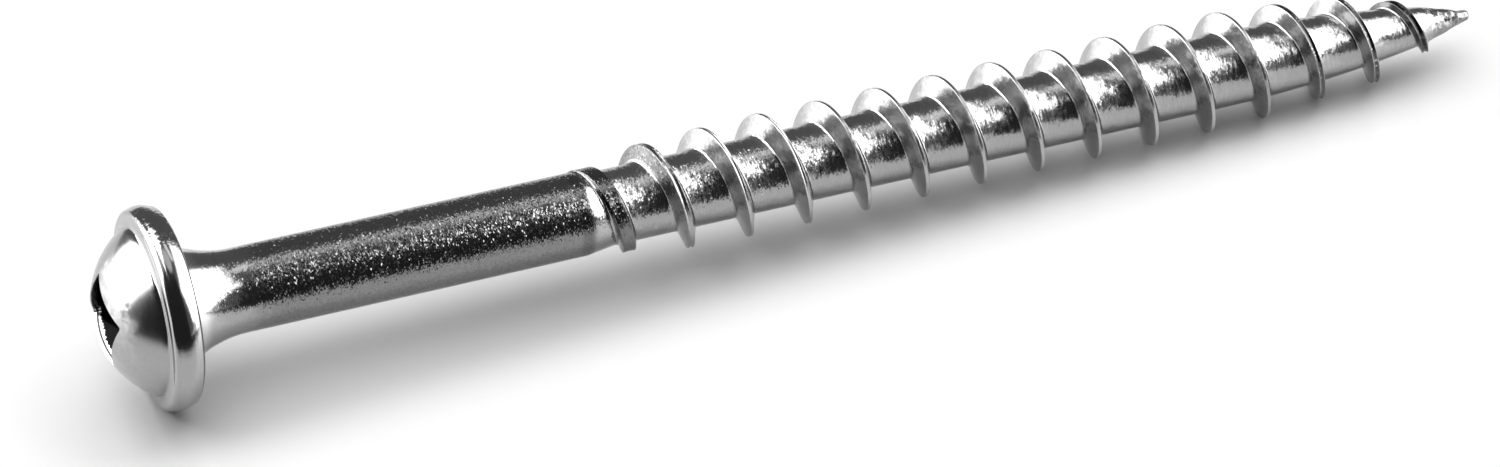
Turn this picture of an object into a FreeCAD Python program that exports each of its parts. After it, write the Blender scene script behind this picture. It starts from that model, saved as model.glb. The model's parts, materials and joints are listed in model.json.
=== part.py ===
import FreeCAD, Part
import math
import os

# A pocket hole screw, cold headed and rolled from one steel wire, lying on its side.
# It is first made along its own axis: x = 0 is the flat face under the flange that
# bears on the wood, the head is at -X and the point at +X. At the end it is laid on
# the plane z = 0, where it rests on the flange's rim and on the thread near the point.

# Sizes in millimetres, angles in degrees.
LENGTH_UNDER_HEAD = 63.5

# Head: a round flange with a crowned rim, and a low dome on it.
FLANGE_DIAMETER = 9.26
FLANGE_THICKNESS = 1.43
RIM_CROWN = 0.09
FRONT_EDGE_BEVEL = 0.28
FRONT_FACE_FALL = 0.03
BACK_EDGE_BEVEL = 0.06
DOME_DIAMETER = 7.70
DOME_HEIGHT = 2.22
DOME_FOOT_FILLET = 0.15

# Drive: a square recess with walls that lean out a little, and a pyramid bottom.
SOCKET_ACROSS = 3.04
SOCKET_DRAFT = 2.5
SOCKET_DEPTH = 2.60
SOCKET_CORNER_RADIUS = 0.14
SOCKET_BOTTOM_DEPTH = 0.50
SOCKET_BOTTOM_FLAT = 0.60

# Neck and smooth shank.
NECK_DIAMETER = 5.72
NECK_LENGTH = 2.95
SHANK_DIAMETER = 3.82

# Core of the threaded part, its taper and its point.
ROOT_DIAMETER = 3.44
THREAD_LENGTH = 44.3
SHOULDER_LEAD = 0.25
SHOULDER_LENGTH = 1.30
TAPER_LENGTH = 13.2
POINT_LENGTH = 2.40
POINT_DIAMETER = 1.72
TIP_RADIUS = 0.20

# Thread: one start, right hand.
PITCH = 2.86
CREST_DIAMETER = 5.36
FLANK_ANGLE = 21.0
THREAD_FOOT_WIDTH = 0.89
POINT_FOOT_WIDTH = 0.52
RIDGE_ROOT_DEPTH = 0.22
THREAD_END_GAP = 0.85

# How the crest rises out of the shank: turns from the thread's start, share of the full rise.
RUN_IN = ((-0.12, -0.12), (0.10, 0.08), (0.61, 0.28), (1.11, 0.75), (1.61, 0.86), (2.6, 1.0))
# How high the crest stands over the core on the taper: share of the taper, height.
RUN_OUT = ((0.0, 0.96), (0.17, 0.90), (0.40, 0.76), (0.62, 0.86), (0.75, 0.36), (0.87, 0.40), (1.0, -0.10))
SAMPLES_PER_TURN = 16

# How far the socket's cut runs out past the dome.
CUT_OVERRUN = 1.0
# Where the middle of a quarter round lies in from each of its legs, as a share of its radius.
QUARTER_ROUND = 1.0 - math.sqrt(0.5)

# How it lies: turn about its own axis, from straight up towards -Y.
THREAD_PHASE = 282.6
SOCKET_PHASE = 63.1

flange_radius = FLANGE_DIAMETER / 2
dome_radius = DOME_DIAMETER / 2
neck_radius = NECK_DIAMETER / 2
shank_radius = SHANK_DIAMETER / 2
root_radius = ROOT_DIAMETER / 2
point_radius = POINT_DIAMETER / 2
crest_radius = CREST_DIAMETER / 2
dome_foot = -FLANGE_THICKNESS
dome_top = dome_foot - DOME_HEIGHT
dome_sphere = (dome_radius ** 2 + DOME_HEIGHT ** 2) / (2.0 * DOME_HEIGHT)
rim_middle = -(FLANGE_THICKNESS - FRONT_EDGE_BEVEL + BACK_EDGE_BEVEL) / 2
thread_start = LENGTH_UNDER_HEAD - THREAD_LENGTH
shoulder_start = thread_start - SHOULDER_LEAD
shoulder_end = shoulder_start + SHOULDER_LENGTH
taper_start = LENGTH_UNDER_HEAD - TAPER_LENGTH
point_start = LENGTH_UNDER_HEAD - POINT_LENGTH
thread_end = LENGTH_UNDER_HEAD - THREAD_END_GAP


def at(x, radius, turn):
    """A point at x along the axis, at a radius, turned from straight up towards -Y."""
    angle = math.radians(turn)
    return FreeCAD.Vector(x, -radius * math.sin(angle), radius * math.cos(angle))


def half_plane(x, radius):
    """A point of the outline that is turned about the axis."""
    return at(x, radius, 0.0)


def line(a, b):
    return Part.LineSegment(a, b).toShape()


def arc(a, middle, b):
    return Part.Arc(a, middle, b).toShape()


def smooth_step(stations, place):
    """The value at a place, running smoothly from one station of a list to the next."""
    if place <= stations[0][0]:
        return stations[0][1]
    for (before, low), (after, high) in zip(stations, stations[1:]):
        if place <= after:
            share = (place - before) / (after - before)
            return low + (high - low) * share * share * (3.0 - 2.0 * share)
    return stations[-1][1]


# The taper is an arc that leaves the straight core at a tangent and meets the point.
taper_run = point_start - taper_start
taper_fall = root_radius - point_radius
taper_arc = (taper_run ** 2 + taper_fall ** 2) / (2.0 * taper_fall)


def core_radius(x):
    """Radius of the core under the thread at x."""
    if x <= shoulder_end:
        share = max(0.0, min(1.0, (x - shoulder_start) / SHOULDER_LENGTH))
        return shank_radius + (root_radius - shank_radius) * share
    if x <= taper_start:
        return root_radius
    if x <= point_start:
        return root_radius - taper_arc + math.sqrt(taper_arc ** 2 - (x - taper_start) ** 2)
    share = (x - point_start) / (LENGTH_UNDER_HEAD - TIP_RADIUS - point_start)
    return point_radius + (TIP_RADIUS - point_radius) * min(1.0, share)


def dome_at(radius):
    """x of the dome's surface at a radius."""
    return dome_top + dome_sphere - math.sqrt(dome_sphere ** 2 - radius ** 2)


def head_outline():
    """Edges from the top of the dome to the start of the neck."""
    fillet_x = dome_foot - DOME_FOOT_FILLET
    fillet_r = math.sqrt(dome_sphere ** 2 - (fillet_x - dome_top - dome_sphere) ** 2)
    fillet_in = DOME_FOOT_FILLET * QUARTER_ROUND
    edge_r = flange_radius - RIM_CROWN
    edge_in = FRONT_EDGE_BEVEL * QUARTER_ROUND
    top = half_plane(dome_top, 0.0)
    dome_middle = half_plane(dome_at(fillet_r / 2), fillet_r / 2)
    dome_end = half_plane(fillet_x, fillet_r)
    fillet_middle = half_plane(dome_foot - fillet_in, fillet_r + fillet_in)
    face_start = half_plane(dome_foot, fillet_r + DOME_FOOT_FILLET)
    face_end = half_plane(dome_foot + FRONT_FACE_FALL, edge_r - FRONT_EDGE_BEVEL)
    bevel_middle = half_plane(dome_foot + edge_in, edge_r - edge_in)
    rim_front = half_plane(dome_foot + FRONT_EDGE_BEVEL, edge_r)
    rim_crest = half_plane(rim_middle, flange_radius)
    rim_back = half_plane(-BACK_EDGE_BEVEL, edge_r)
    bearing_edge = half_plane(0.0, edge_r - BACK_EDGE_BEVEL)
    return [
        arc(top, dome_middle, dome_end),
        arc(dome_end, fillet_middle, face_start),
        line(face_start, face_end),
        arc(face_end, bevel_middle, rim_front),
        arc(rim_front, rim_crest, rim_back),
        line(rim_back, bearing_edge),
        line(bearing_edge, half_plane(0.0, neck_radius)),
    ]


def neck_outline():
    """The concave neck: an arc that ends tangent to the shank."""
    rise = neck_radius - shank_radius
    radius = (NECK_LENGTH ** 2 + rise ** 2) / (2.0 * rise)
    half = NECK_LENGTH / 2
    half_r = shank_radius + radius - math.sqrt(radius ** 2 - half ** 2)
    shank_start = half_plane(NECK_LENGTH, shank_radius)
    return [arc(half_plane(0.0, neck_radius), half_plane(half, half_r), shank_start)]


def shank_outline():
    """Smooth shank, the rolled shoulder, the straight core, its taper and the point."""
    shoulder_top = half_plane(shoulder_start, shank_radius)
    shoulder_foot = half_plane(shoulder_end, root_radius)
    taper_top = half_plane(taper_start, root_radius)
    taper_middle_x = (taper_start + point_start) / 2
    taper_middle = half_plane(taper_middle_x, core_radius(taper_middle_x))
    point_top = half_plane(point_start, point_radius)
    tip_x = LENGTH_UNDER_HEAD - TIP_RADIUS
    tip_edge = half_plane(tip_x, TIP_RADIUS)
    diagonal = TIP_RADIUS * math.sqrt(0.5)
    tip_middle = half_plane(tip_x + diagonal, diagonal)
    tip = half_plane(LENGTH_UNDER_HEAD, 0.0)
    return [
        line(half_plane(NECK_LENGTH, shank_radius), shoulder_top),
        line(shoulder_top, shoulder_foot),
        line(shoulder_foot, taper_top),
        arc(taper_top, taper_middle, point_top),
        line(point_top, tip_edge),
        arc(tip_edge, tip_middle, tip),
        line(tip, half_plane(dome_top, 0.0)),
    ]


def turned_body():
    """The body without thread and socket, turned about its axis."""
    wire = Part.Wire(head_outline() + neck_outline() + shank_outline())
    face = Part.Face(wire)
    return face.revolve(FreeCAD.Vector(0, 0, 0), FreeCAD.Vector(1, 0, 0), 360.0)


def crest_at(x):
    """Radius of the thread's crest at x."""
    turns = (x - thread_start) / PITCH
    rise = smooth_step(RUN_IN, turns) * (crest_radius - shank_radius)
    rising = shank_radius + rise
    if x <= taper_start:
        return rising
    share = (x - taper_start) / (thread_end - taper_start)
    standing = core_radius(x) + smooth_step(RUN_OUT, share)
    return min(rising, standing)


def foot_width_at(x):
    """Width of the ridge where it stands on the core."""
    share = max(0.0, (x - taper_start) / (LENGTH_UNDER_HEAD - taper_start))
    return THREAD_FOOT_WIDTH + (POINT_FOOT_WIDTH - THREAD_FOOT_WIDTH) * share


def ridge_section(turns):
    """Four corners of the ridge's section: foot and crest, head side and point side."""
    x = thread_start + turns * PITCH
    turn = THREAD_PHASE + turns * 360.0
    core = core_radius(x)
    crest = crest_at(x)
    slope = math.tan(math.radians(FLANK_ANGLE))
    half_foot = foot_width_at(x) / 2
    crest_half = half_foot - (crest - core) * slope
    depth = min(RIDGE_ROOT_DEPTH, core / 2)
    foot_half = half_foot + depth * slope
    foot = core - depth
    return (
        at(x - foot_half, foot, turn),
        at(x - crest_half, crest, turn),
        at(x + crest_half, crest, turn),
        at(x + foot_half, foot, turn),
    )


def ridge_piece(first, last):
    """The ridge between two counts of turns, as a closed solid."""
    count = max(4, int(math.ceil((last - first) * SAMPLES_PER_TURN)))
    sections = []
    for step in range(count + 1):
        sections.append(ridge_section(first + (last - first) * step / count))
    edges = []
    for corner in range(4):
        curve = Part.BSplineCurve()
        curve.interpolate([section[corner] for section in sections])
        edges.append(curve.toShape())
    faces = []
    for corner in range(4):
        faces.append(Part.makeRuledSurface(edges[corner], edges[(corner + 1) % 4], 1))
    for section in (sections[0], sections[-1]):
        corners = list(section) + [section[0]]
        faces.append(Part.Face(Part.makePolygon(corners)))
    shell = Part.Shell(faces)
    shell.sewShape()
    return Part.Solid(shell)


def thread_turns():
    """The ridge from the shank to the point, as one solid for each turn or less."""
    first = RUN_IN[0][0]
    last = (thread_end - thread_start) / PITCH
    count = int(math.ceil(last - first))
    turns = (last - first) / count
    return [ridge_piece(first + turns * step, first + turns * (step + 1)) for step in range(count)]


def rounded_square(across, corner, x):
    """A square outline with round corners, square to the axis, one corner at SOCKET_PHASE."""
    half = across / 2
    reach = half - corner
    round_middle = half - corner * QUARTER_ROUND
    outline = ((-reach, half), (reach, half), (round_middle, round_middle), (half, reach))
    edges = []
    for side in range(4):
        turn = SOCKET_PHASE + 45.0 + 90.0 * side
        points = []
        for along, out in outline:
            angle = turn + math.degrees(math.atan2(along, out))
            points.append(at(x, math.hypot(along, out), angle))
        edges.append(line(points[0], points[1]))
        edges.append(arc(points[1], points[2], points[3]))
    return Part.Wire(edges)


def socket():
    """The square recess that the driver fills."""
    mouth = dome_at(SOCKET_ACROSS / math.sqrt(2.0))
    slope = 2.0 * math.tan(math.radians(SOCKET_DRAFT))
    front = dome_top - CUT_OVERRUN
    bottom = dome_top + SOCKET_DEPTH
    front_across = SOCKET_ACROSS + (mouth - front) * slope
    bottom_across = SOCKET_ACROSS - (bottom - mouth) * slope
    flat_corner = SOCKET_CORNER_RADIUS * SOCKET_BOTTOM_FLAT / bottom_across
    outline = rounded_square(bottom_across, SOCKET_CORNER_RADIUS, bottom)
    walls = Part.makeLoft([rounded_square(front_across, SOCKET_CORNER_RADIUS, front), outline], True, True)
    tip = rounded_square(SOCKET_BOTTOM_FLAT, flat_corner, bottom + SOCKET_BOTTOM_DEPTH)
    pyramid = Part.makeLoft([outline, tip], True, True)
    return walls.fuse(pyramid)


def lay_down(shape):
    """Turn the screw until rim and thread touch the floor, and centre it over the origin."""
    slope = (flange_radius - crest_radius) / (taper_start - rim_middle)
    tilt = math.degrees(math.asin(slope))
    shape.rotate(FreeCAD.Vector(0, 0, 0), FreeCAD.Vector(0, 1, 0), tilt)
    box = shape.optimalBoundingBox(False, False)
    move = FreeCAD.Vector(-(box.XMin + box.XMax) / 2, -(box.YMin + box.YMax) / 2, -box.ZMin)
    shape.translate(move)
    print("tilt", round(tilt, 4), "bearing face centre", [round(value, 4) for value in move])
    return shape


def pocket_hole_screw():
    body = turned_body().cut(socket())
    return lay_down(body.fuse(thread_turns()))


screw = pocket_hole_screw()
box = screw.optimalBoundingBox(False, False)
print("solids", len(screw.Solids), "valid", screw.isValid(), "volume", round(screw.Volume, 3))
print("size", round(box.XLength, 3), round(box.YLength, 3), round(box.ZLength, 3))
os.makedirs("parts", exist_ok=True)
screw.exportStep("parts/pocket_hole_screw.step")
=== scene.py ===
import json
import math

import bpy
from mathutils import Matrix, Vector, noise


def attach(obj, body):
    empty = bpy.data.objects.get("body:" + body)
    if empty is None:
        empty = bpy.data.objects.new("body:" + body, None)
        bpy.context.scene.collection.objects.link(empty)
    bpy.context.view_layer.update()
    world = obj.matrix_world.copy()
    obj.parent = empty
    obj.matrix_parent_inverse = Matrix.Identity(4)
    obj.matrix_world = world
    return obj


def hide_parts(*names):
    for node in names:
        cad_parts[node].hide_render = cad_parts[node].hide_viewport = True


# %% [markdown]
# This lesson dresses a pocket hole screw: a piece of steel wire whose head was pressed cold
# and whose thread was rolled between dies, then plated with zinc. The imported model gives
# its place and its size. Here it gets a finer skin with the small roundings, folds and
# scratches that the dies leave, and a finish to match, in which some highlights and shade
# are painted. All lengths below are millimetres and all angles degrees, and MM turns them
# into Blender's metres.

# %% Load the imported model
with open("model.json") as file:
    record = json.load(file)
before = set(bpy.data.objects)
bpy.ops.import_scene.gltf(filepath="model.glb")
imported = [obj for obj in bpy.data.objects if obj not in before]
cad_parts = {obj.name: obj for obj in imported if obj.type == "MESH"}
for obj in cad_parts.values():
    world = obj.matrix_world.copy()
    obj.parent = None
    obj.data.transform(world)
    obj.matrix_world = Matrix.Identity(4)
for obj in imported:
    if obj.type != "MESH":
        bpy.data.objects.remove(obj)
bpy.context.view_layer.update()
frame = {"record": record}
MM = 0.001


def in_mm(lengths):
    """Lengths in metres as rounded millimetres, to print."""
    return [round(length / MM, 3) for length in lengths]


# %% [markdown]
# The camera comes first, because every later choice is judged through it. The screw was
# photographed with a long lens from above its head end. A camera without perspective would
# be simpler to place, but then the point would look too large beside the head, so the
# distance is kept as well as the angle. Cameras and lamps both look along their own -Z.

# %% Camera
CAMERA_AZIMUTH = 22.12
CAMERA_ELEVATION = 39.553
CAMERA_DISTANCE = 312.6
CAMERA_LENS = 168.0
CAMERA_NEAREST = 10.0
AIM = Vector((-4.27, -3.73, 3.50))


def look_direction(azimuth, elevation):
    """Unit vector along which a camera at that azimuth and elevation looks."""
    level = math.cos(math.radians(elevation))
    along_x = level * math.sin(math.radians(azimuth))
    along_y = level * math.cos(math.radians(azimuth))
    return Vector((along_x, along_y, -math.sin(math.radians(elevation))))


def aim_holder(holder, azimuth, elevation, distance, target=Vector()):
    """Put a camera or a lamp at that distance from a target, looking at it."""
    looking = look_direction(azimuth, elevation)
    holder.location = (target - looking * distance) * MM
    holder.rotation_mode = "QUATERNION"
    holder.rotation_quaternion = looking.to_track_quat("-Z", "Y")
    bpy.context.scene.collection.objects.link(holder)


camera_data = bpy.data.cameras.new("camera")
camera_data.lens = CAMERA_LENS
camera_data.clip_start = CAMERA_NEAREST * MM
camera = bpy.data.objects.new("camera", camera_data)
aim_holder(camera, CAMERA_AZIMUTH, CAMERA_ELEVATION, CAMERA_DISTANCE, AIM)
bpy.context.scene.camera = camera
bpy.context.scene.view_settings.view_transform = "Standard"
print("camera at", in_mm(camera.location))

# %% [markdown]
# Materials are wired in code. Math nodes could be made one by one, but a formula of five
# is then twenty lines that nobody can read. So one small class wraps a socket and gives it
# plus, minus, times and divide, and each of these adds its own Math node. All other kinds
# come from the method called node. Most masks below are smooth steps, so these have short
# names too: between and until.


# %% A socket that can be added and multiplied
class Wire:
    """A value, vector or colour on its way through a node tree."""

    tree = None

    def __init__(self, socket):
        self.socket = socket

    @classmethod
    def node(cls, kind, settings=(), inputs=(), outlet=0):
        """Add a node, set it up, feed its sockets, and return one of its outputs."""
        made = cls.tree.nodes.new(kind)
        for name, value in dict(settings).items():
            setattr(made, name, value)
        for name, value in dict(inputs).items():
            if isinstance(value, Wire):
                cls.tree.links.new(value.socket, made.inputs[name])
            else:
                made.inputs[name].default_value = value
        return cls(made.outputs[outlet]) if made.outputs else None

    def math(self, operation, *values):
        """This value in a Math node, with the values that follow it there."""
        inputs = enumerate((self,) + values)
        return Wire.node("ShaderNodeMath", {"operation": operation}, inputs)

    def vector(self, operation, *values, outlet="Vector"):
        """The same for a vector, in a Vector Math node."""
        inputs = enumerate((self,) + values)
        return Wire.node("ShaderNodeVectorMath", {"operation": operation}, inputs, outlet)

    def __add__(self, other):
        return self.math("ADD", other)

    def __sub__(self, other):
        return self.math("SUBTRACT", other)

    def __mul__(self, other):
        return self.math("MULTIPLY", other)

    def __truediv__(self, other):
        return self.math("DIVIDE", other)

    def __rsub__(self, other):
        return Wire.node("ShaderNodeMath", {"operation": "SUBTRACT"}, {0: other, 1: self})

    __radd__ = __add__
    __rmul__ = __mul__

    def between(self, low, high):
        """0 below low, 1 above high, and a smooth step from one to the other."""
        inputs = {"Value": self, "From Min": low, "From Max": high}
        return Wire.node("ShaderNodeMapRange", {"interpolation_type": "SMOOTHSTEP"}, inputs)

    def until(self, low, high):
        """The same step downwards: 1 below low and 0 above high."""
        return 1.0 - self.between(low, high)

    def as_grey(self):
        """A grey colour of this value."""
        return Wire.node("ShaderNodeCombineColor", inputs={0: self, 1: self, 2: self})


def new_material(name):
    """An empty material whose tree the next wires go into."""
    material = bpy.data.materials.new(name)
    material.use_nodes = True
    material.node_tree.nodes.clear()
    Wire.tree = material.node_tree
    return material


def grey(value):
    """A colour that is the same grey all over."""
    return (value, value, value, 1.0)


print("wires ready")

# %% [markdown]
# Bright metal shows what stands around it, so the studio is a set of things to be seen in
# the screw. Two tall soft boxes stand at its ends: one off the point, with a dimmer border
# round it, and one behind the head. A weak panel hangs above. These four are seen in the
# metal and give the paper no light. A fifth, large and high, lights only the paper. One set
# of lamps could do both, as in a real studio, but then every move for a highlight would
# move the shadow too.


# %% Soft boxes
def soft_box(name, azimuth, elevation, distance, width, height, light):
    """A lamp that faces the screw. Its light is its brightness, where 1 is white."""
    lamp = bpy.data.lights.new(name, "AREA")
    lamp.shape = "RECTANGLE"
    lamp.size = width * MM
    lamp.size_y = height * MM
    lamp.energy = light * math.pi * width * MM * height * MM
    holder = bpy.data.objects.new(name, lamp)
    aim_holder(holder, azimuth, elevation, distance)
    holder.visible_camera = False
    print(name, "power", round(lamp.energy, 3))
    return holder


def seen_in_metal(**lamp):
    """A soft box that shows in the metal and gives the paper no light."""
    soft_box(**lamp).visible_diffuse = False


def lights_the_paper(**lamp):
    """A soft box that lights the paper and doesn't show in the metal."""
    soft_box(**lamp).visible_glossy = False


seen_in_metal(name="point_end_box", azimuth=-81.0, elevation=28.0, distance=600.0,
              width=680.0, height=620.0, light=3.2)
seen_in_metal(name="point_end_border", azimuth=-81.0, elevation=31.0, distance=640.0,
              width=860.0, height=760.0, light=1.8)
seen_in_metal(name="head_end_box", azimuth=123.0, elevation=35.0, distance=620.0,
              width=740.0, height=940.0, light=5.0)
seen_in_metal(name="top_panel", azimuth=-122.0, elevation=70.0, distance=700.0,
              width=300.0, height=140.0, light=1.6)
lights_the_paper(name="paper_lamp", azimuth=168.0, elevation=70.0, distance=500.0,
                 width=1100.0, height=1000.0, light=1.95)

# %% [markdown]
# Dark cloths fill the gaps between the soft boxes and draw the dark bands along the shank.
# A black world would draw them too, but the cloths in front and behind also lie on the
# floor, as a photographer lays them, so that the underside of the metal isn't all white. A
# hard edge would show there as a line, so each cloth has a hem: it turns from clear to
# solid with the distance from the screw. Only the metal sees the cloths.

# %% Dark cloths
CLOTH_RADIUS = 800.0
CLOTH_HEIGHT = 3200.0
CLOTH_STEPS = 24
OFF_THE_FLOOR = 0.1
SCREW_REACH = 33.0
HEM_START = 13.0
HEM_END = 37.0


def floor_place():
    """Where a place of the floor is, in mm along the screw and in mm to its side."""
    place = Wire.node("ShaderNodeTexCoord", outlet="Object")
    return [Wire.node("ShaderNodeSeparateXYZ", inputs={0: place}, outlet=way) / MM for way in "XY"]


def off_the_line(lengthwise, sideways, half_length):
    """How far that place is from a line of that half length under the screw."""
    beyond = (lengthwise.math("ABSOLUTE") - half_length).math("MAXIMUM", 0.0)
    return (beyond * beyond + sideways * sideways).math("SQRT")


def glowing_hemmed_cloth(name, shade):
    """A cloth of one shade, which glows with it as its own painted light, and thins out towards the
    screw.
    """
    material = new_material(name)
    # The cloth's grey is an emission: painted light, not light from a lamp.
    cloth = Wire.node("ShaderNodeEmission", inputs={"Color": grey(shade)})
    clear = Wire.node("ShaderNodeBsdfTransparent")
    thick = off_the_line(*floor_place(), SCREW_REACH).between(HEM_START, HEM_END)
    hem = Wire.node("ShaderNodeMixShader", inputs={0: thick, 1: clear, 2: cloth})
    Wire.node("ShaderNodeOutputMaterial", inputs={"Surface": hem})
    return material


def new_object(name, points, faces):
    """A mesh object of those points and faces, placed in the scene."""
    mesh = bpy.data.meshes.new(name)
    mesh.from_pydata(points, [], faces)
    made = bpy.data.objects.new(name, mesh)
    bpy.context.scene.collection.objects.link(made)
    return made


def dark_cloth(name, first, last, shade, apron):
    """A curved curtain about the screw between two azimuths, with an apron on the floor."""
    points = []
    for step in range(CLOTH_STEPS + 1):
        angle = math.radians(first + (last - first) * step / CLOTH_STEPS)
        outwards = Vector((-math.sin(angle), -math.cos(angle), 0.0))
        edge = Vector((outwards.x * (apron + SCREW_REACH), outwards.y * apron, OFF_THE_FLOOR))
        foot = outwards * CLOTH_RADIUS + Vector((0.0, 0.0, OFF_THE_FLOOR))
        head = foot + Vector((0.0, 0.0, CLOTH_HEIGHT))
        points += [edge * MM, foot * MM, head * MM]
    faces = []
    for row in (0, 1):
        corners = (row, row + 3, row + 4, row + 1)
        faces += [[3 * step + corner for corner in corners] for step in range(CLOTH_STEPS)]
    curtain = new_object(name, points, faces)
    curtain.data.materials.append(glowing_hemmed_cloth(name, shade))
    curtain.visible_camera = False
    curtain.visible_diffuse = False
    curtain.visible_shadow = False
    print(name, "from", first, "to", last)


dark_cloth("front_cloth", first=-25.0, last=78.0, shade=0.03, apron=16.0)
dark_cloth("back_cloth", first=155.0, last=235.0, shade=0.16, apron=50.0)
dark_cloth("point_end_cloth", first=235.0, last=335.0, shade=0.16, apron=700.0)
dark_cloth("head_end_cloth", first=78.0, last=155.0, shade=0.16, apron=700.0)

# %% [markdown]
# The floor is plain paper with a faint sheen, which carries the light of the boxes into
# the thread's flanks and turns their tops white. Close to the screw the paper is an honest
# surface, so the soft shadow stays. A few millimetres off it turns into plain white for the
# camera and for the metal. More lamps could make it white too, but they would wash out the
# screw. The head stands higher than the point and throws a longer shadow, so there the
# white begins a little later. The world is white for the same rays, and hardly a light.

# %% Floor and background
FLOOR_SIDE = 8000.0
PAPER = 0.93
PAPER_SHEEN = 0.25
PAPER_IOR = 1.35
SHADOW_HALF_LENGTH = 32.0
SHADOW_FADE_START = 2.0
SHADOW_FADE_END = 6.4
HEAD_SHADOW_LEAN = 0.05
SKY_FILL = 0.01


def seen_directly():
    """1 for rays from the camera and for those seen in metal or glass, else 0."""
    kinds = ("Is Camera Ray", "Is Glossy Ray", "Is Transmission Ray")
    camera_ray, glossy, through = [Wire.node("ShaderNodeLightPath", outlet=kind) for kind in kinds]
    return (camera_ray + glossy + through).math("MINIMUM", 1.0)


def white_paper():
    """Paper that keeps the shadow by the screw and is plain white further off."""
    material = new_material("white_paper")
    lengthwise, sideways = floor_place()
    off = off_the_line(lengthwise, sideways, SHADOW_HALF_LENGTH) + lengthwise * HEAD_SHADOW_LEAN
    fade = off.between(SHADOW_FADE_START, SHADOW_FADE_END) * seen_directly()
    sheet = Wire.node("ShaderNodeBsdfPrincipled", inputs={
        "Base Color": ((1.0 - fade) * PAPER).as_grey(), "Roughness": PAPER_SHEEN,
        "IOR": PAPER_IOR, "Emission Color": fade.as_grey(), "Emission Strength": 1.0})
    Wire.node("ShaderNodeOutputMaterial", inputs={"Surface": sheet})
    return material


half = FLOOR_SIDE * MM / 2
floor_corners = [(-half, -half, 0.0), (half, -half, 0.0), (half, half, 0.0), (-half, half, 0.0)]
floor = new_object("floor", floor_corners, [(0, 1, 2, 3)])
floor.data.materials.append(white_paper())

world = bpy.data.worlds.new("studio")
world.use_nodes = True
world.node_tree.nodes.clear()
Wire.tree = world.node_tree
strength = seen_directly() * (1.0 - SKY_FILL) + SKY_FILL
sky = Wire.node("ShaderNodeBackground", inputs={"Color": grey(1.0), "Strength": strength})
Wire.node("ShaderNodeOutputWorld", inputs={"Surface": sky})
bpy.context.scene.world = world
print("floor side in mm:", FLOOR_SIDE)

# %% [markdown]
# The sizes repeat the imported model's own. They could be measured on its mesh, but plain
# numbers stay exact on a finer one. x runs along the screw from the flat face under the
# flange, negative towards the head and positive towards the point. Two sizes differ. The
# flange is a few hundredths smaller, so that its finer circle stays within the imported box,
# and its back edge is rounder, because it shows as a broad light line. RUN_IN gives the
# share of the crest's height where the thread rises out of the shank, by turns. RUN_OUT
# gives its height over the core where it dies away at the point.

# %% Sizes of the screw
LENGTH_UNDER_HEAD = 63.5
FLANGE_DIAMETER = 9.236
FLANGE_THICKNESS = 1.43
RIM_CROWN = 0.09
FRONT_EDGE_BEVEL = 0.28
FRONT_FACE_FALL = 0.03
BACK_EDGE_ROUND = 0.36
DOME_DIAMETER = 7.70
DOME_HEIGHT = 2.22
DOME_FOOT_FILLET = 0.15

SOCKET_ACROSS = 3.04
SOCKET_DRAFT = 2.5
SOCKET_DEPTH = 2.60
SOCKET_CORNER_RADIUS = 0.14
SOCKET_BOTTOM_DEPTH = 0.50
SOCKET_BOTTOM_FLAT = 0.60

NECK_DIAMETER = 5.72
NECK_LENGTH = 2.95
SHANK_DIAMETER = 3.82

ROOT_DIAMETER = 3.44
THREAD_LENGTH = 44.3
SHOULDER_LEAD = 0.25
SHOULDER_LENGTH = 1.30
TAPER_LENGTH = 13.2
POINT_LENGTH = 2.40
POINT_DIAMETER = 1.72
TIP_RADIUS = 0.20

PITCH = 2.86
CREST_DIAMETER = 5.36
FLANK_ANGLE = 21.0
THREAD_FOOT_WIDTH = 0.89
POINT_FOOT_WIDTH = 0.52
THREAD_END_GAP = 0.85
RUN_IN = ((-0.12, -0.12), (0.10, 0.08), (0.61, 0.28), (1.11, 0.75), (1.61, 0.86), (2.6, 1.0))
RUN_OUT = ((0.0, 0.96), (0.17, 0.90), (0.40, 0.76), (0.62, 0.86),
           (0.75, 0.36), (0.87, 0.40), (1.0, -0.10))

THREAD_PHASE = 282.6
SOCKET_PHASE = 63.1

flange_radius = FLANGE_DIAMETER / 2
dome_radius = DOME_DIAMETER / 2
neck_radius = NECK_DIAMETER / 2
shank_radius = SHANK_DIAMETER / 2
root_radius = ROOT_DIAMETER / 2
point_radius = POINT_DIAMETER / 2
crest_radius = CREST_DIAMETER / 2
dome_foot = -FLANGE_THICKNESS
dome_top = dome_foot - DOME_HEIGHT
dome_sphere = (dome_radius ** 2 + DOME_HEIGHT ** 2) / (2.0 * DOME_HEIGHT)
thread_start = LENGTH_UNDER_HEAD - THREAD_LENGTH
shoulder_start = thread_start - SHOULDER_LEAD
shoulder_end = shoulder_start + SHOULDER_LENGTH
taper_start = LENGTH_UNDER_HEAD - TAPER_LENGTH
point_start = LENGTH_UNDER_HEAD - POINT_LENGTH
thread_end = LENGTH_UNDER_HEAD - THREAD_END_GAP
print("thread from", thread_start, "to", thread_end)
print("turns of thread:", round((thread_end - thread_start) / PITCH, 2))

# %% [markdown]
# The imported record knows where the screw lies: its thread mount gives a point on the axis
# and the axis itself. With these, one small function turns a place on the screw, given by
# x, radius and turn about the axis, into a point of the scene. The screw could be built
# level and turned afterwards, but the finish below needs its axis in the scene too.

# %% Where it lies
thread_mount = next(mount for mount in frame["record"]["mounts"] if mount["name"] == "wood_thread")
axis = Vector(thread_mount["axis"])
origin = Vector(thread_mount["pos_m"]) - axis * thread_start * MM
tilt = math.asin(-axis.z)
upward = Vector((math.sin(tilt), 0.0, math.cos(tilt)))
frontward = Vector((0.0, -1.0, 0.0))


def at(x, radius, turn):
    """A point at x along the axis, at a radius, turned from straight up towards -Y."""
    angle = math.radians(turn)
    sideways = Vector((0.0, -radius * math.sin(angle), 0.0))
    return origin + (axis * x + upward * (radius * math.cos(angle)) + sideways) * MM


print("tilt", round(math.degrees(tilt), 3))
print("bearing face at", in_mm(origin))

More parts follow.
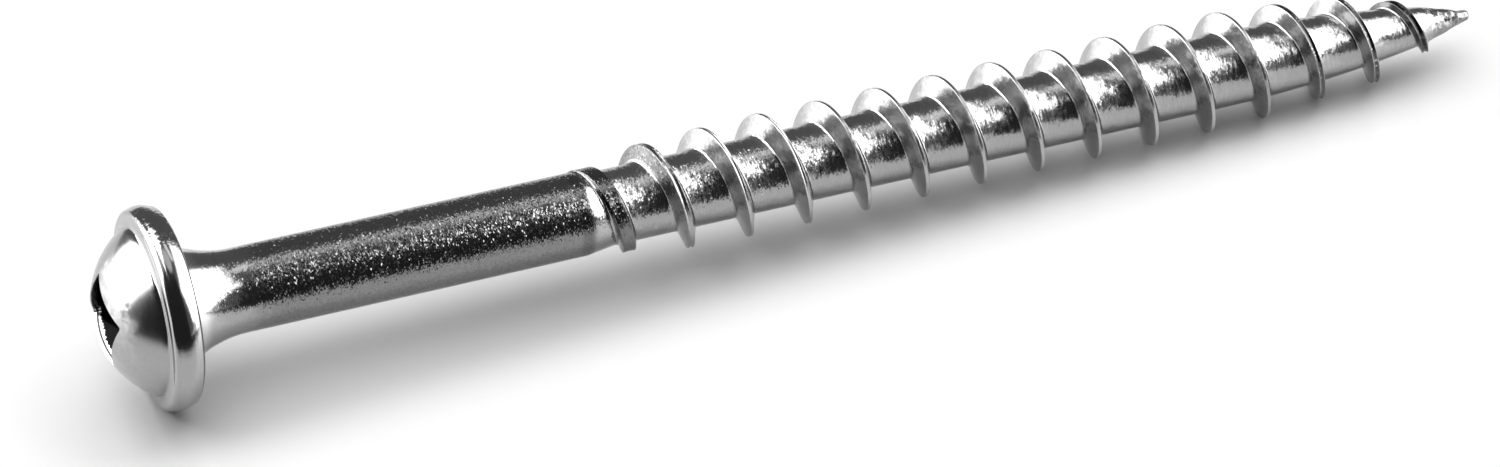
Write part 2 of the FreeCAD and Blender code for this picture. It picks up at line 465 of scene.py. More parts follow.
# %% [markdown]
# Every shape below is a radius that depends on x. The taper of the core is an arc tangent
# to its straight part, and the dome is part of a ball. The crest runs through its stations
# in smooth steps, because straight lines would show as corners in the thread's edge.

# %% Radii along the axis
taper_run = point_start - taper_start
taper_fall = root_radius - point_radius
taper_arc = (taper_run ** 2 + taper_fall ** 2) / (2.0 * taper_fall)


def smooth_step(stations, place):
    """The value at a place, running smoothly from one station of a list to the next."""
    if place <= stations[0][0]:
        return stations[0][1]
    for (before, low), (after, high) in zip(stations, stations[1:]):
        if place <= after:
            share = (place - before) / (after - before)
            return low + (high - low) * share * share * (3.0 - 2.0 * share)
    return stations[-1][1]


def core_radius(x):
    """Radius of the shank and of the core under the thread."""
    if x <= shoulder_end:
        share = max(0.0, (x - shoulder_start) / SHOULDER_LENGTH)
        return shank_radius + (root_radius - shank_radius) * share
    if x <= taper_start:
        return root_radius
    if x <= point_start:
        return root_radius - taper_arc + math.sqrt(taper_arc ** 2 - (x - taper_start) ** 2)
    share = (x - point_start) / (LENGTH_UNDER_HEAD - TIP_RADIUS - point_start)
    return point_radius + (TIP_RADIUS - point_radius) * min(1.0, share)


def crest_at(x):
    """Radius of the thread's crest."""
    rise = smooth_step(RUN_IN, (x - thread_start) / PITCH) * (crest_radius - shank_radius)
    rising = shank_radius + rise
    if x <= taper_start:
        return rising
    share = (x - taper_start) / (thread_end - taper_start)
    return min(rising, core_radius(x) + smooth_step(RUN_OUT, share))


def half_foot_at(x):
    """Half the width of the ridge where it stands on the core."""
    share = max(0.0, (x - taper_start) / (LENGTH_UNDER_HEAD - taper_start))
    return (THREAD_FOOT_WIDTH + (POINT_FOOT_WIDTH - THREAD_FOOT_WIDTH) * share) / 2


def dome_at(radius):
    """x of the dome's surface at a radius."""
    return dome_top + dome_sphere - math.sqrt(dome_sphere ** 2 - radius ** 2)


print("taper arc", round(taper_arc, 1), "dome sphere", round(dome_sphere, 3))

# %% [markdown]
# The skin is one closed mesh of rings about the axis, each with the same number of columns,
# and neighbouring rings are joined by quads. A turned profile or the screw modifier would
# do for the head and shank, but the square socket at one end and the helix at the other
# have to join the rings point for point, so all is one list.
# The cut point bulges a little where the dies pinched it off, and smooth noise added to
# its radius does that.

# %% Points and quads
COLUMNS = 108
BULGE_START = ((61.4, 0.0), (62.2, 1.0))
BULGE_LENGTH = 0.7
BULGE_ROUND = 0.9
POINT_SWELL = 0.04
POINT_BULGE = 0.12

points = []
quads = []


def column_turn(column):
    """The turn about the axis at which a column lies."""
    return THREAD_PHASE + 360.0 * column / COLUMNS


def hammered(x, turn):
    """How far the cut point bulges at a place."""
    angle = math.radians(turn)
    place = Vector((x / BULGE_LENGTH, math.cos(angle) * BULGE_ROUND, math.sin(angle) * BULGE_ROUND))
    return smooth_step(BULGE_START, x) * (POINT_SWELL + POINT_BULGE * noise.noise(place))


def add_point(x, radius, turn):
    """Add a point of the skin and return its number."""
    if radius > 0.0:
        radius += hammered(x, turn)
    points.append(at(x, radius, turn))
    return len(points) - 1


def ring(x, radius):
    """A circle of points round the axis."""
    return [add_point(x, radius, column_turn(column)) for column in range(COLUMNS)]


def join(before, after):
    """Quads between two rings, the first one nearer to the head."""
    for column in range(COLUMNS):
        beside = (column + 1) % COLUMNS
        quads.append((before[column], before[beside], after[beside], after[column]))


def join_all(rings):
    """Quads between each ring of a list and the next."""
    for before, after in zip(rings, rings[1:]):
        join(before, after)


print("columns", COLUMNS)

# %% [markdown]
# The socket is a square hole in a round head, pressed by a slightly tapered punch. Cutting
# it out with a boolean would leave long thin faces in the dome, which shade badly. So each
# of its columns is one column of the dome's rings: a quarter of them goes to each side, and
# a few of those go round each corner. These functions give the outline of the square and
# the line in which its walls meet the dome.

# %% Outline of the socket
CORNER_STEPS = 3
FIRST_CORNER = 15
SIDE_COLUMNS = COLUMNS // 4
MOUTH_TRIES = 6

socket_slope = 2.0 * math.tan(math.radians(SOCKET_DRAFT))
mouth_corner_x = dome_at(SOCKET_ACROSS / math.sqrt(2.0))
socket_floor = dome_top + SOCKET_DEPTH


def across_at(x):
    """Width of the socket between its flats."""
    return SOCKET_ACROSS - (x - mouth_corner_x) * socket_slope


def square_polar(column, across, corner):
    """Radius and turn of one column of a square outline with round corners."""
    side, step = divmod((column - FIRST_CORNER) % COLUMNS, SIDE_COLUMNS)
    half = across / 2
    reach = half - corner
    straight = SIDE_COLUMNS - 2 * CORNER_STEPS
    if step < CORNER_STEPS:
        lean = math.radians(45.0 * (step / CORNER_STEPS - 1.0))
        along, out = -reach + corner * math.sin(lean), reach + corner * math.cos(lean)
    elif step > SIDE_COLUMNS - CORNER_STEPS:
        lean = math.radians(45.0 * (step - SIDE_COLUMNS + CORNER_STEPS) / CORNER_STEPS)
        along, out = reach + corner * math.sin(lean), reach + corner * math.cos(lean)
    else:
        along, out = reach * (2.0 * (step - CORNER_STEPS) / straight - 1.0), half
    turn = SOCKET_PHASE + 45.0 + 90.0 * (side - 1) + math.degrees(math.atan2(along, out))
    return math.hypot(along, out), turn


def mouth_polar(column):
    """Radius, turn and x of the mouth, where a wall of the socket meets the dome."""
    x = mouth_corner_x
    for _ in range(MOUTH_TRIES):
        radius, turn = square_polar(column, across_at(x), SOCKET_CORNER_RADIUS)
        x = dome_at(radius)
    return radius, turn, x


mouths = [mouth_polar(column) for column in range(COLUMNS)]
print("corners of the mouth at x", round(mouth_corner_x, 3))

# %% [markdown]
# The rings run from the middle of the socket's bottom, a shallow pyramid, up its walls and
# out over the dome. The punch rolls the mouth's edge over a little, which gives it a bright
# line, so two small rings round that edge. Between the square mouth and the first full
# circle each ring is a mixture of the two, in its radius and in its turn.

# %% Socket
FIRST_CIRCLE = 2.72
MOUTH_ROLL = 0.05
ROLLED_EDGE = ((0.008, 0.016), (0.024, 0.002))
FLAT_SHARES = (0.5, 1.0)
PYRAMID_SHARES = (0.3, 0.6, 0.9, 0.98)
WALL_SHARES = (0.0, 0.03, 0.25, 0.5, 0.75, 0.93, 1.0)
DOME_SHARES = (0.0, 0.04, 0.2, 0.45, 0.72, 1.0)


def bottom_ring(x, across):
    """A square ring of the bottom, whose corners shrink with it."""
    corner = SOCKET_CORNER_RADIUS * across / across_at(socket_floor)
    return [add_point(x, *square_polar(column, across, corner)) for column in range(COLUMNS)]


def wall_ring(share):
    """A square ring of the walls, at a share of the way up to the mouth."""
    made = []
    for column, (_, _, mouth_x) in enumerate(mouths):
        x = socket_floor + (mouth_x + MOUTH_ROLL - socket_floor) * share
        made.append(add_point(x, *square_polar(column, across_at(x), SOCKET_CORNER_RADIUS)))
    return made


def dome_ring(share):
    """A ring of the dome, at a share of the way from the mouth to the first circle."""
    made = []
    for column, (radius, turn, _) in enumerate(mouths):
        out = radius + MOUTH_ROLL
        mixed = out + (FIRST_CIRCLE - out) * share
        target = column_turn(column)
        start = turn + 360.0 * round((target - turn) / 360.0)
        made.append(add_point(dome_at(mixed), mixed, start + (target - start) * share))
    return made


bottom_x = socket_floor + SOCKET_BOTTOM_DEPTH
socket = [bottom_ring(bottom_x, SOCKET_BOTTOM_FLAT * share) for share in FLAT_SHARES]
for share in PYRAMID_SHARES:
    across = SOCKET_BOTTOM_FLAT + (across_at(socket_floor) - SOCKET_BOTTOM_FLAT) * share
    socket.append(bottom_ring(socket_floor + SOCKET_BOTTOM_DEPTH * (1.0 - share), across))
socket += [wall_ring(share) for share in WALL_SHARES]
for outward, inward in ROLLED_EDGE:
    socket.append([add_point(x + inward, radius + outward, turn) for radius, turn, x in mouths])
socket += [dome_ring(share) for share in DOME_SHARES]

middle = add_point(bottom_x, 0.0, 0.0)
for column in range(COLUMNS):
    beside = (column + 1) % COLUMNS
    quads.append((middle, socket[0][beside], socket[0][column]))
join_all(socket)
print("socket rings", len(socket), "points", len(points))

# %% [markdown]
# The head and neck are a plain profile turned about the axis. What matters in polished
# metal is how each edge is rounded, because an edge shows as a thin light line. A bevel
# modifier would round them all alike, but the dies leave each edge its own radius. So arcs
# are stepped finely, and each flat has a ring close to its edge, which keeps it flat.

# %% Head, neck and shank
FLAT_KEEPER = 0.02
DOME_STEPS = 9
FILLET_STEPS = 6
EDGE_STEPS = 8
CROWN_STEPS = 12
NECK_STEPS = 18
SHANK_STEPS = 8
RUN_IN_COLUMNS = 12


def arc_points(centre_x, centre_r, radius, first, last, steps):
    """Points on an arc of the profile. Angle 0 points along +x and 90 outwards."""
    made = []
    for step in range(steps + 1):
        angle = math.radians(first + (last - first) * step / steps)
        made.append((centre_x + radius * math.cos(angle), centre_r + radius * math.sin(angle)))
    return made


def dome_profile(dome_end):
    """The dome from the first circle outwards, and the fillet at its foot."""
    made = []
    for step in range(1, DOME_STEPS + 1):
        radius = FIRST_CIRCLE + (dome_end - FIRST_CIRCLE) * step / DOME_STEPS
        made.append((dome_at(radius), radius))
    fillet = DOME_FOOT_FILLET
    arc = arc_points(dome_foot - fillet, dome_end + fillet, fillet, -90.0, 0.0, FILLET_STEPS)
    return made + arc[1:]


def flange_profile(inner_radius):
    """The flange's front face, its crowned rim and its flat back."""
    edge_r = flange_radius - RIM_CROWN
    front, back = FRONT_EDGE_BEVEL, BACK_EDGE_ROUND
    front_x = dome_foot + front
    made = [(dome_foot + FRONT_FACE_FALL / 2, inner_radius + FLAT_KEEPER)]
    made.append((dome_foot + FRONT_FACE_FALL, edge_r - front - FLAT_KEEPER))
    edge = arc_points(front_x, edge_r - front, front, 180.0, 90.0, EDGE_STEPS)
    for step, (x, radius) in enumerate(edge):
        made.append((x + FRONT_FACE_FALL * (1.0 - step / EDGE_STEPS), radius))
    half = (-back - front_x) / 2
    crown = (half ** 2 + RIM_CROWN ** 2) / (2.0 * RIM_CROWN)
    lean = math.degrees(math.asin(half / crown))
    crown_r = flange_radius - crown
    made += arc_points(front_x + half, crown_r, crown, 90.0 + lean, 90.0 - lean, CROWN_STEPS)[1:]
    made += arc_points(-back, edge_r - back, back, 90.0 - lean, 0.0, FILLET_STEPS)[1:]
    return made + [(0.0, edge_r - back - FLAT_KEEPER), (0.0, neck_radius + FLAT_KEEPER)]


def neck_profile():
    """The hollow neck, an arc that runs into the shank without an edge."""
    rise = neck_radius - shank_radius
    radius = (NECK_LENGTH ** 2 + rise ** 2) / (2.0 * rise)
    sweep = math.degrees(math.asin(NECK_LENGTH / radius))
    return arc_points(NECK_LENGTH, shank_radius + radius, radius, -90.0 - sweep, -90.0, NECK_STEPS)


foot_x = dome_foot - DOME_FOOT_FILLET
dome_end = math.sqrt(dome_sphere ** 2 - (foot_x - dome_top - dome_sphere) ** 2)
first_turn = -RUN_IN_COLUMNS / COLUMNS
shank_end = thread_start + (first_turn - 0.5) * PITCH
profile = dome_profile(dome_end) + flange_profile(dome_end + DOME_FOOT_FILLET) + neck_profile()
for step in range(1, SHANK_STEPS + 1):
    profile.append((NECK_LENGTH + (shank_end - NECK_LENGTH) * step / SHANK_STEPS, shank_radius))
turned = [ring(x, radius) for x, radius in profile]
join(socket[-1], turned[0])
join_all(turned)
print("turned rings", len(turned), "to x", round(shank_end, 2))

# %% [markdown]
# The thread is a ridge on a helix. A fine even grid pushed out to the ridge's height would
# leave steps along the crest, so the grid itself is sheared: its columns go round the axis
# and its rows run along the helix, one row on each line of the ridge's section. Row 0 lies
# midway between two ridges, and the last row of one turn is row 0 of the next. Rolled metal
# meets at the crest from both flanks and leaves a shallow fold, deepest on the first turns
# and near the point. FOLD gives its depth and CREST_LEAST the crest's least half width
# there, both by turns.

# %% Section of the ridge
ROOT_ROWS = 4
ARC_ROWS = 3
FLANK_SHARES = (0.06, 0.35, 0.65, 0.94)
FOOT_FILLET = 0.11
FOOT_FILLET_SHARE = 0.35
CREST_ROUND = 0.022
CREST_ROUND_SHARE = 0.2
LOWEST_RIDGE = 0.03
END_PINCH = 1.0
FOLD = ((0.0, 0.0), (0.5, 0.02), (1.2, 0.05), (3.2, 0.04), (4.2, 0.0),
        (11.6, 0.0), (12.6, 0.06), (14.6, 0.07), (15.1, 0.0))
FOLD_LIMIT = 0.3
FOLD_SIDE = 0.7
CREST_LEAST = ((3.0, 0.05), (11.3, 0.05), (12.4, 0.13), (14.0, 0.14), (14.8, 0.11), (15.3, 0.08))
last_turn = math.ceil((thread_end - thread_start) / PITCH * COLUMNS) / COLUMNS


def half_section(height, half_foot, half_crest, fold):
    """(distance from the ridge's middle, height) from the root to the middle of the crest."""
    slope = math.atan2(height, half_foot - half_crest)
    length = math.hypot(height, half_foot - half_crest)
    fillet = min(FOOT_FILLET, FOOT_FILLET_SHARE * length / math.tan(slope / 2))
    crown = min(CREST_ROUND, CREST_ROUND_SHARE * length, half_crest / 2)
    fillet_reach = fillet * math.tan(slope / 2)
    crown_reach = crown * math.tan(slope / 2)
    foot_end = half_foot + fillet_reach
    rows = [(foot_end + FLAT_KEEPER, 0.0)]
    for step in range(ARC_ROWS + 1):
        angle = slope * step / ARC_ROWS
        rows.append((foot_end - fillet * math.sin(angle), fillet - fillet * math.cos(angle)))
    for share in FLANK_SHARES:
        inset = fillet_reach + (length - fillet_reach - crown_reach) * share
        rows.append((half_foot - inset * math.cos(slope), inset * math.sin(slope)))
    for step in range(ARC_ROWS + 1):
        angle = slope * (1.0 - step / ARC_ROWS)
        out = half_crest - crown_reach + crown * math.sin(angle)
        rows.append((out, height - crown + crown * math.cos(angle)))
    rows.append((out / 2, height - FOLD_SIDE * fold))
    return rows


def ridge_rows(turns):
    """(x, share of the ridge's height) of each row at one place of the thread."""
    x = thread_start + turns * PITCH
    height = crest_at(x) - core_radius(x)
    whole = max(height, LOWEST_RIDGE)
    half_foot = half_foot_at(x)
    plain_crest = half_foot - whole * math.tan(math.radians(FLANK_ANGLE))
    half_crest = max(plain_crest, smooth_step(CREST_LEAST, turns))
    fold = min(smooth_step(FOLD, turns), FOLD_LIMIT * whole)
    side = half_section(whole, half_foot, half_crest, fold)
    edge = side[0][0]
    behind = PITCH / 2
    ahead = behind - END_PINCH * max(0.0, turns - last_turn + 1.0)
    steps = range(ROOT_ROWS)
    rows = [(-behind + (behind - edge) * step / ROOT_ROWS, 0.0) for step in steps]
    rows += [(-out, up) for out, up in side] + [(0.0, whole - fold)] + list(reversed(side))
    rows += [(ahead + (edge - ahead) * step / ROOT_ROWS, 0.0) for step in reversed(steps)]
    flat = max(0.0, min(1.0, height / LOWEST_RIDGE))
    return [(x + out, flat * up / whole) for out, up in rows]


ROWS = len(ridge_rows(1.0)) - 1
print("rows in a pitch", ROWS)

# %% [markdown]
# Now the section is swept along the helix, column by column. The rolled crest isn't clean
# but ragged by a hundredth of a millimetre, so noise of two sizes is added to it. The
# shoulder, where the shank falls to the core, has two round edges that cross the helix. A
# row that passes close to one is moved onto it, or else the edge would look frayed.

# %% Thread
CREST_ROUGHNESS = 0.012
COARSE_STEPS = (19.0, 0.13, 3.7)
FINE_STEPS = (61.0, 0.31, 8.1)
COARSE_SHARE = 0.6
NEAR_A_CREASE = 0.26

first_column = round(first_turn * COLUMNS)
last_column = round(last_turn * COLUMNS)


def ragged(turns, row):
    """Small uneven steps of the crest, as the rolled metal folds."""
    coarse, fine = [
        noise.noise(Vector((turns * by_turn, row * by_row, offset)))
        for by_turn, by_row, offset in (COARSE_STEPS, FINE_STEPS)
    ]
    return CREST_ROUGHNESS * (COARSE_SHARE * coarse + (1.0 - COARSE_SHARE) * fine)


def draw_to_creases(xs):
    """Move the nearest row onto each round edge of the shoulder, so that it stays crisp."""
    drawn = list(xs)
    for crease in (shoulder_start, shoulder_end):
        nearest = min(range(len(xs)), key=lambda row: abs(xs[row] - crease))
        gap = xs[min(nearest + 1, len(xs) - 1)] - xs[max(nearest - 1, 0)]
        if nearest in (0, len(xs) - 1):
            gap = 2.0 * gap
        if abs(xs[nearest] - crease) <= NEAR_A_CREASE * gap:
            drawn[nearest] = crease
    return drawn


def thread_column(column):
    """(x, radius, turn) of each row at one column of the thread."""
    turns = column / COLUMNS
    crest = crest_at(thread_start + turns * PITCH)
    rows = ridge_rows(turns)
    xs = draw_to_creases([x for x, _ in rows])
    made = []
    for row, (x, (_, share)) in enumerate(zip(xs, rows)):
        core = core_radius(x)
        made.append((x, core + (crest + ragged(turns, row) - core) * share, column_turn(column)))
    return made


def join_grid(grid):
    """Quads between each column of a grid and the next."""
    for before, after in zip(grid, grid[1:]):
        for row in range(ROWS):
            quads.append((before[row], after[row], after[row + 1], before[row + 1]))


columns = {}
for column in range(first_column, last_column + 1):
    places = thread_column(column)
    if column == first_column:
        head_side = turned[-1][column % COLUMNS]
    elif column - COLUMNS in columns:
        head_side = columns[column - COLUMNS][-1]
    else:
        head_side = add_point(*places[0])
    columns[column] = [head_side] + [add_point(*place) for place in places[1:]]
join_grid(list(columns.values()))
print("thread columns", len(columns))

# %% [markdown]
# The rows meet the smooth shank along a helix, and the shank ends in a circle. Between them
# lies a wedge that opens from nothing to one pitch in the course of a turn. Long triangles
# could fill it, but they would show as scratches on the shoulder, so it is a grid with as
# many rows as the thread, which fan out of a single point.

# %% Wedge at the shank
start_places = thread_column(first_column)
start_shares = [(x - start_places[0][0]) / PITCH for x, _, _ in start_places]


def wedge_column(column):
    """Rows between the end of the shank and row 0 of the first turn."""
    edge_x = thread_column(column)[0][0]
    xs = draw_to_creases([shank_end + (edge_x - shank_end) * share for share in start_shares])
    made = [add_point(x, core_radius(x), column_turn(column)) for x in xs[1:-1]]
    return [turned[-1][column % COLUMNS]] + made + [columns[column][0]]


wedge = [wedge_column(column) for column in range(first_column + 1, first_column + COLUMNS)]
wedge.append(columns[first_column])
corner = columns[first_column][0]
for row in range(ROWS):
    quads.append((corner, wedge[0][row], wedge[0][row + 1]))
join_grid(wedge)
print("wedge at the shank closed, points", len(points))

# %% [markdown]
# The same wedge, turned round, closes the grid at the point: it narrows from one pitch to
# nothing and ends in a circle again, from which the tip can go on.

# %% Wedge at the point
end_places = thread_column(last_column)
end_ring_x = end_places[-1][0]
end_start_x = end_places[0][0]
end_shares = [(x - end_start_x) / (end_ring_x - end_start_x) for x, _, _ in end_places]
end_first = last_column - COLUMNS
end_ring = [columns[last_column][-1]]
for column in range(end_first + 1, last_column):
    end_ring.append(add_point(end_ring_x, core_radius(end_ring_x), column_turn(column)))


def end_column(step):
    """Rows between the last row of the last turn and the circle that starts the tip."""
    column = end_first + step
    edge_x = thread_column(column)[-1][0]
    xs = [edge_x + (end_ring_x - edge_x) * share for share in end_shares]
    made = [add_point(x, core_radius(x), column_turn(column)) for x in xs[1:-1]]
    return [columns[column][-1]] + made + [end_ring[step]]


wedge = [columns[last_column]] + [end_column(step) for step in range(1, COLUMNS)]
join_grid(wedge)
corner = columns[last_column][-1]
for row in range(ROWS):
    quads.append((wedge[-1][row], corner, wedge[-1][row + 1]))
print("wedge at the point closed, points", len(points))

# %% [markdown]
# The tip is a small blunt ball. A separate ball would leave a seam, so its rings go on from
# the wedge. Then the lists become a mesh. It is shaded smooth all over, because every edge
# above has its own arc.

# %% Tip and skin
TIP_STEPS = 3
TIP_LAST_RING = 22.5

tip_x = LENGTH_UNDER_HEAD - TIP_RADIUS
between_x = (end_ring_x + tip_x) / 2
tip_profile = [(between_x, core_radius(between_x))]
tip_profile += arc_points(tip_x, 0.0, TIP_RADIUS, 90.0, TIP_LAST_RING, TIP_STEPS)


def tip_ring(x, radius):
    """A circle whose columns go on from the last turn of the thread."""
    return [add_point(x, radius, column_turn(last_column + column)) for column in range(COLUMNS)]


tip_rings = [end_ring] + [tip_ring(x, radius) for x, radius in tip_profile]
join_all(tip_rings)
middle = add_point(LENGTH_UNDER_HEAD, 0.0, 0.0)
for column in range(COLUMNS):
    beside = (column + 1) % COLUMNS
    quads.append((tip_rings[-1][column], tip_rings[-1][beside], middle))

skin = new_object("screw_skin", points, quads)
skin.data.shade_smooth()
print("points", len(points), "triangles", sum(len(quad) - 2 for quad in quads))

# %% [markdown]
# Bright zinc on steel is nearly colourless, and almost all of its look is in how smooth it
# is. Where the dies pressed the metal, at head, neck and thread, it is polished and carries
# fine lines that run round the axis. The shank was touched by nothing after drawing, so
# there the plating lies on a fine satin grain. Separate materials for these would meet in
# hard lines, so one material does both, with masks that follow the place on the screw.
# First it needs that place: how far along the axis, how far up, to the front and out from
# it. Up and front, divided by out, say which way a place faces.

# %% Places on the screw
OFF_THE_AXIS = 0.001

zinc_plated_steel = new_material("zinc_plated_steel")
from_face = Wire.node("ShaderNodeTexCoord", outlet="Object").vector("SUBTRACT", origin)


def reach(direction):
    """How far a place lies from the middle of the bearing face in that direction."""
    return from_face.vector("DOT_PRODUCT", direction, outlet="Value") / MM


along = reach(axis)
up = reach(upward)
side = reach(frontward)
radius = (up * up + side * side).math("SQRT") + OFF_THE_AXIS
facing_up = up / radius
facing_front = side / radius
print("nodes so far", len(Wire.tree.nodes))

# %% [markdown]
# Grain, dents and scratches are smaller than the mesh. They could be bumps, but Blender
# works a bump out over the width of a pixel, and here a grain is narrower. So the normal
# itself leans a little this way and that, by random vectors. The grains of the plating are
# flat facets, of which a few lean far and sparkle. Each kind below has its length along the
# axis, its width round it, and an offset that makes its pattern its own.

# %% Grains, dents and scratches
PLATING_GRAIN = (0.045, 0.08, 0.0)
NECK_EDGE = (0.5, 0.5, 0.0)
FINE_DENTS = (0.15, 0.25, 3.0)
DOME_DENTS = (0.35, 0.35, 5.0)
ROLLING_STREAKS = (0.13, 0.45, 7.0)
SPECKS = (0.16, 0.12, 11.0)
BROAD_DENTS = (0.5, 0.8, 19.0)
POINT_DENTS = (0.24, 0.24, 37.0)
RIM_SCRATCHES = (0.9, 0.07, 43.0)
MIDDLE_COLOUR = (0.5, 0.5, 0.5)
FACET_STRETCH = 3.0


def grain_place(length, width, offset):
    """Coordinates in which one grain of that length and width is 1 wide."""
    inputs = {0: along / length + offset, 1: up / width, 2: side / width}
    return Wire.node("ShaderNodeCombineXYZ", inputs=inputs)


def spots(kind, detail=1.0, outlet=0):
    """Smooth random values from 0 to 1, or with the outlet Color three at a time."""
    inputs = {"Vector": grain_place(*kind), "Scale": 1.0, "Detail": detail}
    return Wire.node("ShaderNodeTexNoise", inputs=inputs, outlet=outlet)


def tilts(kind, detail=1.0):
    """Smooth random vectors, to lean the surface this way and that."""
    return spots(kind, detail, "Color").vector("SUBTRACT", MIDDLE_COLOUR)


def scaled(vectors, amount):
    """Those vectors made longer or shorter."""
    return Wire.node("ShaderNodeVectorMath", {"operation": "SCALE"}, {0: vectors, "Scale": amount})


def facets(kind):
    """One random vector for each grain: many short ones and a few long."""
    inputs = {"Vector": grain_place(*kind), "Scale": 1.0}
    cells = Wire.node("ShaderNodeTexVoronoi", inputs=inputs, outlet="Color")
    even = cells.vector("SUBTRACT", MIDDLE_COLOUR)
    length = even.vector("LENGTH", outlet="Value")
    return scaled(even, length * length * FACET_STRETCH)


specks = spots(SPECKS)
streaks = spots(ROLLING_STREAKS, detail=2.0)
print("nodes so far", len(Wire.tree.nodes))

# %% [markdown]
# Masks say where each finish lies. They could be painted on the mesh, but a formula is
# sharp at any distance. The two numbers of a step are where it begins and where it ends, in
# millimetres along the axis or out from it. The satin shank begins in an uneven line on the
# neck, and its grain goes on over the first turn of the ridge, which the dies hardly
# touched. The height above the core tells the root from the flanks.

# %% Masks of shank and thread
NECK_END = (3.3, 5.0)
NECK_UNEVEN = 1.6
THREAD_FINISH = (20.2, 20.6)

neck_place = along + spots(NECK_EDGE) * NECK_UNEVEN
shank = neck_place.between(*NECK_END) * along.until(18.93, 18.98)
neck = along.between(0.6, 1.6) * neck_place.until(*NECK_END)
neck_foot = along.between(0.0, 0.02) * along.until(0.6, 1.1)
first_ridge = radius.between(1.86, 1.92) * along.between(18.4, 18.6) * along.until(22.0, 24.0)
satin = shank.math("MAXIMUM", first_ridge)
rolled = along.between(18.96, 19.1) * (1.0 - first_ridge)
shoulder = rolled * along.until(20.1, 20.4)

taper_place = (along - taper_start).math("MAXIMUM", 0.0)
above_core = radius - (root_radius - taper_place * taper_place / (2.0 * taper_arc))
on_core = above_core.until(0.05, 0.2)
root = rolled * on_core * along.between(*THREAD_FINISH)
early_root = root * along.until(27.0, 36.0)
flank = along.between(*THREAD_FINISH) * (1.0 - on_core)
last_ridge = above_core.between(0.03, 0.12) * along.between(57.6, 58.4)
tip = along.between(60.9, 61.6) * above_core.until(0.1, 0.3)
print("nodes so far", len(Wire.tree.nodes))

# %% [markdown]
# The head was handled most. Its rim is scratched on top, and the dome has a few small dents
# round the socket. Its back edge is painted lighter on the side that faces up and to the
# front, as a painted highlight, and a thin line of painted shade runs round it next to the
# bearing face. The socket could have a material of its own, but the depth below the dome's
# surface finds it as well. Its lower wall catches the light, with a thin dark line of painted
# shade just inside the rolled mouth, and deeper down the steel is painted nearly black, as
# painted shade.

# %% Masks of the head
LOWER_WALL_UP = -0.95
LOWER_WALL_FRONT = -0.31
SPECKLED_DEPTH = 0.4

rim = radius.between(4.30, 4.36)
rubbed_top = rim * facing_up.between(0.85, 0.97) * facing_front.until(0.12, 0.34)
# The side that faces up and to the front, where the back edge is painted lighter: a painted
# highlight.
upper_front_side = facing_front.between(0.3, 0.55) * facing_up.between(0.2, 0.6)
flange_back = radius.between(3.9, 4.0)
back_edge_painted_highlight = along.between(-0.38, -0.28) * flange_back * upper_front_side
# A thin dark line round the back edge next to the bearing face: painted shade.
back_painted_shade_line = along.between(-0.16, -0.12) * flange_back

below_dome = along - dome_top - radius * radius / (2.0 * dome_sphere)
within_head = radius.until(2.2, 2.3) * along.until(-0.5, -0.4)
recess = below_dome.between(0.05, 0.12) * within_head
# Deeper in the socket the steel is painted nearly black: painted shade in the recess.
deep_painted_shade = (below_dome + specks * SPECKLED_DEPTH).between(0.50, 0.60) * within_head
towards_lower_wall = up * LOWER_WALL_UP + side * LOWER_WALL_FRONT
lower_side = towards_lower_wall.between(1.2, 1.35) * within_head
lower_wall = recess * lower_side
# A thin dark line just inside the rolled mouth: painted shade at the edge of the recess.
lower_lip_painted_shade = below_dome.between(0.13, 0.16) * below_dome.until(0.24, 0.28) * lower_side
dome = (1.0 - recess) * along.until(-1.7, -1.5)
dented = (1.0 - recess) * along.until(-1.9, -1.7) * radius.until(2.5, 3.1)
print("nodes so far", len(Wire.tree.nodes))

# %% [markdown]
# Two things on the thread depend on where a place lies between two ridges, from 0 at one to
# 1 at the next. The root is faintly hollow, so that one highlight sits in each gap. It
# could be hollow in the mesh, but the imported model's is straight, and a lean of the normal
# keeps to that. Near the point the crest has a broken fold, whose dark colour is painted
# shade.

# %% Hollow root and folded crest
HIGHLIGHT_PLACE = 0.55
ROOT_HOLLOW = 0.45
SHOULDER_HOLLOW = 0.16

turned_by = side.math("ARCTAN2", up) - math.radians(THREAD_PHASE)
gap_place = ((along - thread_start) / PITCH - turned_by / math.tau).math("FRACT")
hollow = root * (HIGHLIGHT_PLACE - gap_place) * ROOT_HOLLOW + shoulder * SHOULDER_HOLLOW
from_gap = (gap_place - 0.5).math("ABSOLUTE")
# The fold is real, and its dark colour in the crest is painted shade.
fold = flank * from_gap.between(0.455, 0.47) * along.between(51.0, 53.5) * specks.between(0.25, 0.4)
print("nodes so far", len(Wire.tree.nodes))

# %% [markdown]
# Each row of this table leans the normal by one kind of vector, as much as its masks say.
# Single lines would do, but a table shows at a glance which finish has what. Two rows lean
# along the axis itself: streaks with the hollow root, and the lower wall of the socket,
# which the punch left bent towards the mouth.

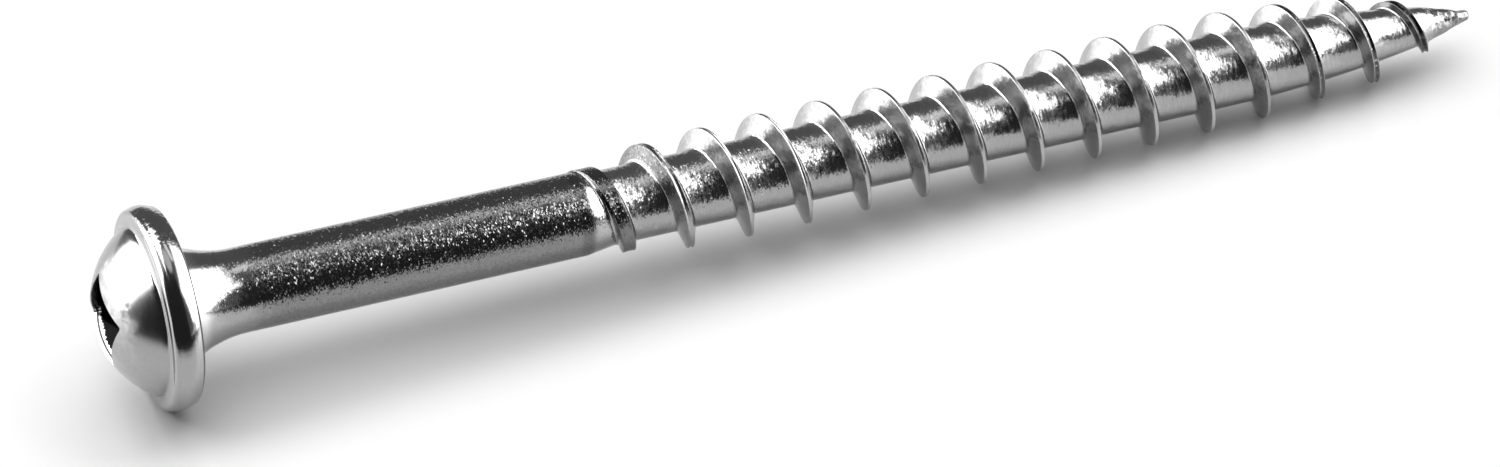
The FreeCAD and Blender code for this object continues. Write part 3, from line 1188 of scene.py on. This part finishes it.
# %% Relief
plating = satin * 0.28 + (early_root + root) * 0.09 + (neck + shoulder) * 0.10
RELIEF = (
    (facets(PLATING_GRAIN), plating),
    (axis, root * (streaks - 0.5) * 0.32 + hollow),
    (tilts(FINE_DENTS), root * 0.16 + flank * 0.2),
    (tilts(BROAD_DENTS), rolled * 0.12),
    (tilts(POINT_DENTS, detail=2.0), tip * 1.5),
    (tilts(RIM_SCRATCHES), rim * 0.05 + rubbed_top * 0.45),
    (tilts(DOME_DENTS), dented * 0.3),
    (axis, lower_wall * -0.35),
)
normal = Wire.node("ShaderNodeNewGeometry", outlet="Normal")
for vectors, amount in RELIEF:
    normal = normal.vector("ADD", scaled(vectors, amount))
normal = normal.vector("NORMALIZE")
print("kinds of relief", len(RELIEF))

# %% [markdown]
# Metal has two more numbers at each place: how much it reflects and how blurred. Pictures
# could hold them, but masks follow the screw at any size. The boxes are brighter than
# white, so the metal is darker than bare zinc. It is lighter on the upper front side of the
# flange's back edge, which is a painted highlight, and at the foot of the neck. Each row of
# DULLED takes its share away: in the deep socket, inside the mouth's lip, along the back
# edge's line and in the crest's fold it is painted shade, and on the last ridge, the tip and
# the first ridge the metal is darker.

# %% Zinc plated steel
POLISHED = 0.37
SATIN = 0.23
SOCKET_SHINE = 0.80
FLANK_SHINE = 0.43
EDGE_SHINE = 0.55
STREAK_SHADE = (0.92, 0.12)
SATIN_SPECKLE = 0.5
SATIN_ROUGHNESS = 0.16
POLISHED_ROUGHNESS = (0.11, 0.06)
# In DULLED the socket's depth, the lip, the fold and the back line are painted shade; the last
# ridge, the tip and the first ridge are darker metal.
DULLED = (
    (deep_painted_shade, 0.995), (lower_lip_painted_shade, 0.95), (last_ridge, 0.7), (tip, 0.35),
    (fold, 0.8), (back_painted_shade_line, 0.75), (first_ridge, 0.3),
)
ROUGHER = ((flank, 0.11), (root, 0.06), (tip, 0.08), (dome, 0.06))

polished = 1.0 - satin
value = satin * SATIN + polished * POLISHED * (STREAK_SHADE[0] + STREAK_SHADE[1] * streaks)
value = value * (1.0 + satin * (specks - 0.5) * SATIN_SPECKLE)
value = value + recess * (SOCKET_SHINE - POLISHED) + flank * (FLANK_SHINE - POLISHED)
# Lighter on the back edge's upper front side, a painted highlight, and at the foot of the neck.
value = value + (back_edge_painted_highlight + neck_foot) * (EDGE_SHINE - POLISHED)
for mask, share in DULLED:
    value = value * (1.0 - mask * share)
streaked = POLISHED_ROUGHNESS[0] + POLISHED_ROUGHNESS[1] * streaks
roughness = satin * SATIN_ROUGHNESS + polished * streaked
for mask, more in ROUGHER:
    roughness = roughness + mask * more

metal = Wire.node("ShaderNodeBsdfPrincipled", inputs={
    "Base Color": value.as_grey(), "Metallic": 1.0, "Roughness": roughness, "Normal": normal})
Wire.node("ShaderNodeOutputMaterial", inputs={"Surface": metal})
skin.data.materials.append(zinc_plated_steel)
print("nodes in the finish", len(Wire.tree.nodes))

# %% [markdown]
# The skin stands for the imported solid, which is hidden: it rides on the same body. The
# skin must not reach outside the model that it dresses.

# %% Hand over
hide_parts("pocket_hole_screw")
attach(skin, "root")
